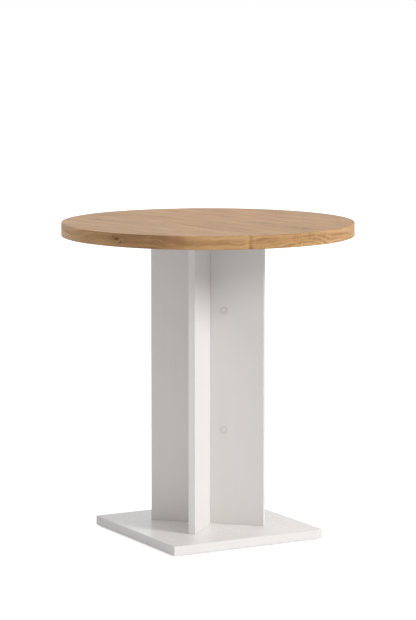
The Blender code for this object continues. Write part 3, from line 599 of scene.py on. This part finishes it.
TOP_LOW = 0.7213
TOP_HIGH = 0.7530
TOP_RADIUS = 0.3500
TOP_BAND = 0.0010
TOP_SIDES = 384
TOP_RINGS = 24
GRAIN_TURN = math.radians(-101.5)
LEFT_JOINT = 0.1058
RIGHT_JOINT = -0.0662
JOINT_SOFTNESS = 0.0008
OAK_RELIEF = 0.00006
OAK_LIGHT = (0.600, 0.362, 0.168, 1.0)
OAK_MIDDLE = (0.505, 0.285, 0.120, 1.0)
OAK_DARK = (0.360, 0.186, 0.073, 1.0)
SHEET_PRINT = (0.960, 0.915, 0.765, 1.0)
JOINT_BROWN = (0.270, 0.135, 0.080, 1.0)
PINKER_PLANK = (1.01, 0.975, 1.01, 1.0)
GREYER_PLANK = (0.98, 1.0, 1.06, 1.0)
OAK_STREAK = (0.300, 0.120, 0.040, 1.0)
OAK_PORE = (0.250, 0.140, 0.068, 1.0)
KNOT_BROWN = (0.150, 0.052, 0.018, 1.0)
BACKING_GREY = (0.31, 0.30, 0.29, 1.0)
BACKING_FLECK = (0.25, 0.24, 0.23, 1.0)


def oak_knot():
    """One knot: how dark it is, and the place with the grain bent round it.

    With d the distance from the centre in lengths and widths, the grain's measure across is
    drawn towards the centre by 0.8 * exp(-d * d / 2), and the dark heart fills d below 1.
    """
    takes = {"Place": (0.0, 0.0, 0.0), "Dark": 0.0, "Centre": (0.0, 0.0, 0.0),
             "Size": (100.0, 200.0, 0.0), "Depth": 1.0}
    tree, taken, given = effect("oak_knot", takes, {"Place": tuple, "Dark": float})
    offset = node(tree, "VectorMath", {0: taken["Place"], 1: taken["Centre"]},
                  operation="SUBTRACT").outputs[0]
    ragged = speckle(tree, taken["Place"], (260.0, 420.0, 0.0), detail=3.0)
    reach = node(tree, "VectorMath", {0: offset, 1: taken["Size"]}, operation="MULTIPLY")
    far = node(tree, "VectorMath", {0: reach.outputs[0]}, operation="LENGTH").outputs["Value"]
    square = arithmetic(tree, "MULTIPLY", arithmetic(tree, "MULTIPLY", far, far), -0.12)
    fall = arithmetic(tree, "EXPONENT", square)
    pull = arithmetic(tree, "MULTIPLY", fall, -0.8)
    across = node(tree, "VectorMath", {0: offset, 1: (0.0, 1.0, 0.0)}, operation="MULTIPLY")
    shift = node(tree, "VectorMath", {0: across.outputs[0], "Scale": pull}, operation="SCALE")
    bent = node(tree, "VectorMath", {0: taken["Place"], 1: shift.outputs[0]}, operation="ADD")
    edge = arithmetic(tree, "ADD", far, between(tree, ragged, 0.3, 0.7, -0.45, 0.45))
    heart = between(tree, edge, 0.55, 1.25, 1.0, 0.0)
    halo = between(tree, far, 0.8, 3.2, 0.22, 0.0)
    dark = arithmetic(tree, "MULTIPLY", arithmetic(tree, "MAXIMUM", heart, halo), taken["Depth"])
    give(tree, given, Place=bent.outputs[0], Dark=arithmetic(tree, "MAXIMUM", taken["Dark"], dark))


def oak_figure():
    """Oak decor along X: slow wandering year lines, thin threads, short dark pores and pale
    rays, toned from dark to light, and browned where a knot is dark."""
    takes = {"Place": (0.0, 0.0, 0.0), "Dark": 0.0, "Tone": 0.5, "Ripple": 0.0, "Wild": 0.3,
             "Lines": 1.0, "Streaks": 0.42}
    gives = {"Colour": list, "Roughness": float, "Height": float}
    tree, taken, given = effect("oak_figure", takes, gives)
    place = taken["Place"]
    slow = between(tree, speckle(tree, place, (2.4, 7.0, 7.0)), 0.25, 0.75, -0.016, 0.016,
                   smooth=False)
    quick = between(tree, speckle(tree, place, (8.0, 16.0, 16.0), detail=2.0), 0.25, 0.75,
                    -0.020, 0.020, smooth=False)
    drift = arithmetic(tree, "ADD", slow, arithmetic(tree, "MULTIPLY", quick, taken["Wild"]))
    sway = node(tree, "CombineXYZ", {"Y": drift})
    grain = node(tree, "VectorMath", {0: place, 1: sway.outputs[0]}, operation="ADD").outputs[0]
    years = speckle(tree, grain, (1.9, 46.0, 46.0), detail=3.0, roughness=0.62, distortion=0.5)
    lines = speckle(tree, grain, (5.0, 210.0, 210.0), detail=3.0, roughness=0.6)
    threads = speckle(tree, grain, (16.0, 760.0, 760.0), detail=2.0)
    pores = between(tree, speckle(tree, grain, (62.0, 1500.0, 1500.0), detail=1.0), 0.60, 0.70)
    rays = between(tree, speckle(tree, grain, (150.0, 60.0, 60.0), detail=2.0), 0.60, 0.74)
    patch = speckle(tree, place, (1.6, 5.5, 5.5), detail=2.0)
    ripple = speckle(tree, place, (95.0, 60.0, 60.0), detail=3.0, distortion=1.2)
    tone = arithmetic(tree, "ADD", taken["Tone"], between(tree, years, 0.25, 0.75, -0.38, 0.38))
    fine = arithmetic(tree, "ADD", between(tree, lines, 0.28, 0.72, -0.42, 0.42),
                      between(tree, threads, 0.25, 0.75, -0.20, 0.20))
    tone = arithmetic(tree, "ADD", tone, arithmetic(tree, "MULTIPLY", fine, taken["Lines"]))
    tone = arithmetic(tree, "ADD", tone, between(tree, patch, 0.25, 0.75, -0.12, 0.12))
    waves = arithmetic(tree, "MULTIPLY", between(tree, ripple, 0.3, 0.7, -0.5, 0.5),
                       taken["Ripple"])
    tone = arithmetic(tree, "ADD", arithmetic(tree, "ADD", tone, waves),
                      arithmetic(tree, "MULTIPLY", rays, 0.10), clamp=True)
    ramp = node(tree, "ValToRGB", {"Fac": tone})
    stops = ramp.color_ramp.elements
    stops[0].position, stops[0].color = 0.0, OAK_DARK
    stops[1].position, stops[1].color = 1.0, OAK_LIGHT
    stops.new(0.5).color = OAK_MIDDLE
    streaks = speckle(tree, grain, (3.2, 110.0, 110.0), detail=3.0, roughness=0.65)
    streaks = arithmetic(tree, "MULTIPLY", between(tree, streaks, 0.54, 0.68), taken["Streaks"])
    colour = mixed(tree, streaks, ramp.outputs["Color"], OAK_STREAK)
    colour = mixed(tree, arithmetic(tree, "MULTIPLY", pores, 0.40), colour, OAK_PORE)
    colour = mixed(tree, taken["Dark"], colour, KNOT_BROWN)
    rough = between(tree, lines, 0.25, 0.75, 0.46, 0.40)
    rough = arithmetic(tree, "ADD", rough, arithmetic(tree, "MULTIPLY", pores, 0.14))
    height = arithmetic(tree, "SUBTRACT", arithmetic(tree, "MULTIPLY", threads, 0.5), pores)
    height = arithmetic(tree, "SUBTRACT", height, arithmetic(tree, "MULTIPLY", taken["Dark"], 0.8))
    give(tree, given, Colour=colour, Roughness=rough, Height=height)


def knots_along(tree, place, knots):
    """Passes a place through one knot after another. Each knot is its centre along and across
    the grain, its length and width, and its depth of colour."""
    dark = 0.0
    for along, across, length, width, depth in knots:
        made = group_in(tree, "oak_knot", Place=place, Dark=dark, Centre=(along, across, 0.0),
                        Size=(2 / length, 2 / width, 0.0), Depth=depth)
        place, dark = made["Place"], made["Dark"]
    return place, dark


oak_knot()
oak_figure()
top_finish, tree, shader = material("oak_decor_planks", Specular_IOR_Level=0.5, IOR=1.5)
flat = stretched(tree, placed(tree, (0.0, 0.0, GRAIN_TURN)), (1.0, 1.0, 0.0))
bent, dark = knots_along(tree, flat, (
    (0.210, 0.170, 0.040, 0.014, 0.85), (-0.284, -0.052, 0.036, 0.012, 0.95),
    (0.030, -0.262, 0.026, 0.009, 0.55), (0.262, -0.120, 0.026, 0.010, 0.60),
    (-0.120, -0.225, 0.020, 0.007, 0.50), (-0.117, -0.0715, 0.045, 0.022, 0.40)))
across = node(tree, "SeparateXYZ", {"Vector": flat}).outputs["Y"]
wavy = arithmetic(tree, "ADD", across,
                  between(tree, speckle(tree, flat, (6.0, 2.0, 0.0)), 0.3, 0.7, -0.002, 0.002))
left_plank = between(tree, across, LEFT_JOINT - JOINT_SOFTNESS, LEFT_JOINT + JOINT_SOFTNESS)
right_plank = between(tree, across, RIGHT_JOINT + JOINT_SOFTNESS, RIGHT_JOINT - JOINT_SOFTNESS)
tone = arithmetic(tree, "ADD", 0.47, arithmetic(tree, "MULTIPLY", left_plank, 0.12))
tone = arithmetic(tree, "ADD", tone, arithmetic(tree, "MULTIPLY", right_plank, 0.02))
slip = node(tree, "CombineXYZ", {"X": arithmetic(tree, "MULTIPLY", left_plank, 0.73),
                                 "Z": arithmetic(tree, "MULTIPLY", right_plank, 0.51)})
own = node(tree, "VectorMath", {0: bent, 1: slip.outputs[0]}, operation="ADD").outputs[0]
look = group_in(tree, "oak_figure", Place=own, Dark=dark, Tone=tone, Ripple=0.10,
                Wild=0.25, Lines=1.6, Streaks=0.60)
seam_near = arithmetic(tree, "ABSOLUTE", arithmetic(tree, "SUBTRACT", wavy, RIGHT_JOINT))
seam_far = arithmetic(tree, "ABSOLUTE", arithmetic(tree, "SUBTRACT", wavy, LEFT_JOINT))
seam = between(tree, arithmetic(tree, "MINIMUM", seam_near, seam_far), 0.0004, 0.0036, 0.62, 0.0)
seam = arithmetic(tree, "MULTIPLY", seam, between(tree, speckle(tree, flat, (9.0, 4.0, 0.0)),
                                                  0.30, 0.62, 0.25, 1.0))
printed = mixed(tree, 1.0, look["Colour"], SHEET_PRINT, "MULTIPLY")
colour = mixed(tree, seam, printed, JOINT_BROWN)
pinkish = mixed(tree, 1.0, colour, PINKER_PLANK, "MULTIPLY")
colour = mixed(tree, right_plank, colour, pinkish)
greyish = mixed(tree, 1.0, colour, GREYER_PLANK, "MULTIPLY")
colour = mixed(tree, left_plank, colour, greyish)
height_above = node(tree, "SeparateXYZ", {"Vector": placed(tree)}).outputs["Z"]
below = between(tree, height_above, TOP_LOW + 0.001, TOP_LOW + 0.002, 1.0, 0.0)
backing = mixed(tree, speckle(tree, flat, (14.0, 14.0, 0.0), detail=4.0), BACKING_GREY,
                BACKING_FLECK)
colour = mixed(tree, below, colour, backing)
dress(tree, shader, colour, look["Roughness"], look["Height"], OAK_RELIEF, 0.4)

spokes = np.linspace(0.0, TOP_RADIUS - TOP_BAND - BAND_GLUE_LINE, TOP_RINGS)
upper = np.column_stack([spokes[::-1], np.full(TOP_RINGS, TOP_HIGH)])
lower = np.column_stack([spokes, np.full(TOP_RINGS, TOP_LOW)])
board = turned_piece("tabletop_oak_board", np.concatenate([lower, upper]), TOP_SIDES,
                     (0.0, 0.0, 0.0), UP, top_finish)
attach(board, "table")
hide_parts("tabletop_board")


# ---------------------------------------------------------------------------------------------
# Tabletop edging. One 1 mm ABS strip in the same oak print, its grain running round the rim,
# trimmed to small rounds above and below, with its two ends butted together at the back.

RIM_ARRIS = 0.0008
STRIP_BUTT = math.radians(62.0)
STRIP_COLUMNS = 384
STRIP_GAP = 0.00005
PALE_MARK = 255.5
BROWN_MARK = 257.0
DARK_STAVE = (0.800, 0.755, 0.700, 1.0)
# Painted light: how much the rim's front-right run is brightened, as by a light from the right.
PAINTED_RIM_LIGHT = (1.240, 1.230, 1.240, 1.0)

rim_finish, tree, shader = material("oak_edging_strip", Specular_IOR_Level=0.5, IOR=1.5)
strip_place = node(tree, "UVMap", uv_map="strip").outputs["UV"]


def strip_run(degrees):
    """How far along the strip a direction from the centre lies, in metres from the butt."""
    return TOP_RADIUS * (math.radians(degrees) - STRIP_BUTT)


bent, dark = knots_along(tree, strip_place, (
    (strip_run(204.2), 0.0200, 0.015, 0.0085, 0.95),
    (strip_run(206.0), 0.0160, 0.008, 0.0040, 0.80),
    (strip_run(202.4), 0.0220, 0.007, 0.0030, 0.60),
    (strip_run(228.0), 0.0170, 0.060, 0.0100, 0.16),
    (strip_run(BROWN_MARK), 0.0030, 0.010, 0.0080, 0.75),
    (strip_run(266.0), 0.0160, 0.007, 0.0050, 0.38),
    (strip_run(286.0), 0.0130, 0.006, 0.0060, 0.30),
    (strip_run(318.0), 0.0240, 0.050, 0.0120, 0.12),
    (strip_run(352.0), 0.0120, 0.012, 0.0060, 0.70),
    (strip_run(96.0), 0.0200, 0.012, 0.0070, 0.60),
    (strip_run(146.0), 0.0100, 0.009, 0.0060, 0.80)))
run = node(tree, "SeparateXYZ", {"Vector": strip_place}).outputs["X"]
rippled = arithmetic(tree, "MULTIPLY", between(tree, run, strip_run(270.0), strip_run(277.0)),
                     between(tree, run, strip_run(298.0), strip_run(290.0)))
ripple = arithmetic(tree, "ADD", arithmetic(tree, "MULTIPLY", rippled, 0.45), 0.15)
stave = arithmetic(tree, "MULTIPLY", between(tree, run, strip_run(203.0), strip_run(209.0)),
                   between(tree, run, strip_run(233.5), strip_run(231.0)))
tone = arithmetic(tree, "SUBTRACT", 0.58, arithmetic(tree, "MULTIPLY", stave, 0.36))
look = group_in(tree, "oak_figure", Place=bent, Dark=dark, Tone=tone, Ripple=ripple,
                Wild=0.35, Lines=0.9, Streaks=0.24)
pale = arithmetic(tree, "ABSOLUTE", arithmetic(tree, "SUBTRACT", run, strip_run(PALE_MARK)))
pale = between(tree, pale, 0.001, 0.006, 0.50, 0.0)
brown = arithmetic(tree, "ABSOLUTE", arithmetic(tree, "SUBTRACT", run, strip_run(BROWN_MARK)))
brown = between(tree, brown, 0.0015, 0.0055, 0.62, 0.0)
shade = arithmetic(tree, "MULTIPLY", between(tree, run, strip_run(172.0), strip_run(206.0)),
                   between(tree, run, strip_run(229.0), strip_run(224.0)))
darker = mixed(tree, 1.0, look["Colour"], DARK_STAVE, "MULTIPLY")
colour = mixed(tree, shade, look["Colour"], darker)
# Painted light: the rim is brightened from 280 to 352 degrees, the run facing a light at the right.
bright = arithmetic(tree, "MULTIPLY", between(tree, run, strip_run(280.0), strip_run(314.0)),
                    between(tree, run, strip_run(352.0), strip_run(325.0)))
brighter = mixed(tree, 1.0, colour, PAINTED_RIM_LIGHT, "MULTIPLY")
colour = mixed(tree, bright, colour, brighter)
colour = mixed(tree, pale, colour, OAK_LIGHT)
colour = mixed(tree, brown, colour, OAK_DARK)
worn = group_in(tree, "handled_arris", Place=strip_place, Use=0.5)["Mask"]
colour = mixed(tree, worn, colour, OAK_DARK)
rough = arithmetic(tree, "SUBTRACT", look["Roughness"], arithmetic(tree, "MULTIPLY", worn, 0.08))
dress(tree, shader, colour, rough, look["Height"], OAK_RELIEF, 0.4)


def rim_strip():
    """The strip's half section, carried once round the rim with both of its ends closed.

    The section is the glued face, then a quarter round, the face and a quarter round. Its map
    holds the run round the rim and the way along the section, both in metres.
    """
    inset = TOP_RADIUS - RIM_ARRIS
    foot = quarter_round(inset, TOP_LOW + RIM_ARRIS, RIM_ARRIS, -90.0)
    brow = quarter_round(inset, TOP_HIGH - RIM_ARRIS, RIM_ARRIS, 0.0)
    face = [(TOP_RADIUS, TOP_LOW + 2 * RIM_ARRIS), (TOP_RADIUS, TOP_HIGH - 2 * RIM_ARRIS)]
    section = np.concatenate([[(TOP_RADIUS - TOP_BAND, TOP_LOW)], foot, face, brow,
                              [(TOP_RADIUS - TOP_BAND, TOP_HIGH)]])
    gap = STRIP_GAP / TOP_RADIUS
    angles = STRIP_BUTT + np.linspace(gap, 2 * np.pi - gap, STRIP_COLUMNS + 1)
    spoke = np.column_stack([np.cos(angles), np.sin(angles), np.zeros(len(angles))])
    rings = section[None, :, :1] * spoke[:, None, :] + section[None, :, 1:] * np.array(UP)
    steps = np.linalg.norm(np.diff(section, axis=0), axis=1)
    way = np.concatenate([[0.0], np.cumsum(steps)])
    run = TOP_RADIUS * (angles - STRIP_BUTT)
    rounded = np.ones(len(section))
    rounded[[0, len(foot) + 1, len(foot) + 2, -1]] = 0.0
    points, faces = skin(rings)
    return points, faces, np.tile(way, len(angles)), np.repeat(run, len(section)), rounded


points, faces, way, run, rounded = rim_strip()
rim = piece("tabletop_oak_edging", points, faces, rim_finish,
            {"arris": np.tile(rounded, STRIP_COLUMNS + 1), "way": way, "run": run})
layer = rim.data.uv_layers.new(name="strip")
corner_vertex = np.zeros(len(rim.data.loops), np.int32)
rim.data.loops.foreach_get("vertex_index", corner_vertex)
spread = np.zeros((2, len(rim.data.vertices)), np.float32)
rim.data.attributes["run"].data.foreach_get("value", spread[0])
rim.data.attributes["way"].data.foreach_get("value", spread[1])
layer.uv.foreach_set("vector", spread[:, corner_vertex].T.ravel())
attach(rim, "table")
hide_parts("tabletop_edge_band")


# ---------------------------------------------------------------------------------------------
# Studio. A plain pale floor that runs out of sight, one large soft lamp high to the right of
# the camera, polarised so that it leaves no glare, a pale fill from all round, and softer glows
# from the left, from behind and from above.

FLOOR_RADIUS = 90.0
FLOOR_SIDES = 96
FLOOR_DEPTH = 0.02
FLOOR_GREY = (0.84, 0.84, 0.84, 1.0)
FLOOR_PALE = (0.86, 0.86, 0.86, 1.0)
FLOOR_GLOW = 0.63
EVEN_WHITE = (1.0, 1.0, 1.0, 1.0)
KEY_WAY = (-0.473, 0.757, -0.450)
KEY_ANGLE = math.radians(22.0)
KEY_STRENGTH = 2.20
FILL = 0.03
SOFT_GLOWS = ((0.76, (0.45, 0.87, 0.25), 62.0), (0.46, (-1.0, -0.15, 0.40), 60.0),
              (0.86, (0.0, 0.0, 1.0), 70.0))
CAMERA_PLACE = (-3.05208, -5.47778, 1.35729)
CAMERA_YAW = math.radians(29.12622)
CAMERA_PITCH = math.radians(4.73807)
CAMERA_LENS = 153.27
CAMERA_RISE = -0.20
SENSOR_WIDTH = 36.0

floor_finish, tree, shader = material("pale_floor", Roughness=0.9, Specular_IOR_Level=0.1)
soft = speckle(tree, placed(tree), (1.5, 1.5, 1.5), detail=2.0)
tree.links.new(mixed(tree, soft, FLOOR_GREY, FLOOR_PALE),
               shader.inputs["Base Color"])
seen = node(tree, "LightPath").outputs["Is Camera Ray"]
tree.links.new(arithmetic(tree, "MULTIPLY", seen, FLOOR_GLOW), shader.inputs["Emission Strength"])
shader.inputs["Emission Color"].default_value = EVEN_WHITE
floor_profile = [(0.0, -FLOOR_DEPTH), (FLOOR_RADIUS, -FLOOR_DEPTH), (FLOOR_RADIUS, 0.0), (0.0, 0.0)]
turned_piece("floor", floor_profile, FLOOR_SIDES, (0.0, 0.0, 0.0), UP, floor_finish)

world = bpy.data.worlds.new("even_fill")
bpy.context.scene.world = world
world.use_nodes = True
sky = world.node_tree
way = node(sky, "TexCoord").outputs["Generated"]
level = FILL
for glow, towards, spread in SOFT_GLOWS:
    facing = node(sky, "VectorMath", {0: way, 1: Vector(towards).normalized()},
                  operation="DOT_PRODUCT").outputs["Value"]
    level = arithmetic(sky, "ADD", between(sky, facing, math.cos(math.radians(spread)), 1.0,
                                           0.0, glow), level)
seen = node(sky, "LightPath").outputs["Is Camera Ray"]
level = arithmetic(sky, "MAXIMUM", level, seen)
sky.links.new(level, sky.nodes["Background"].inputs["Strength"])
sky.nodes["Background"].inputs["Color"].default_value = EVEN_WHITE

lamp = bpy.data.lights.new("key", "SUN")
lamp.energy = KEY_STRENGTH
lamp.angle = KEY_ANGLE
key = bpy.data.objects.new("key", lamp)
bpy.context.scene.collection.objects.link(key)
key.rotation_euler = Vector(KEY_WAY).to_track_quat("-Z", "Y").to_euler()
key.visible_glossy = False

camera_data = bpy.data.cameras.new("camera")
camera_data.sensor_width = SENSOR_WIDTH
camera_data.lens = CAMERA_LENS
camera_data.shift_y = CAMERA_RISE
camera = bpy.data.objects.new("camera", camera_data)
camera.location = CAMERA_PLACE
camera.rotation_euler = (math.radians(90.0) - CAMERA_PITCH, 0.0, -CAMERA_YAW)
bpy.context.scene.collection.objects.link(camera)
bpy.context.scene.camera = camera
bpy.context.scene.view_settings.view_transform = "Standard"
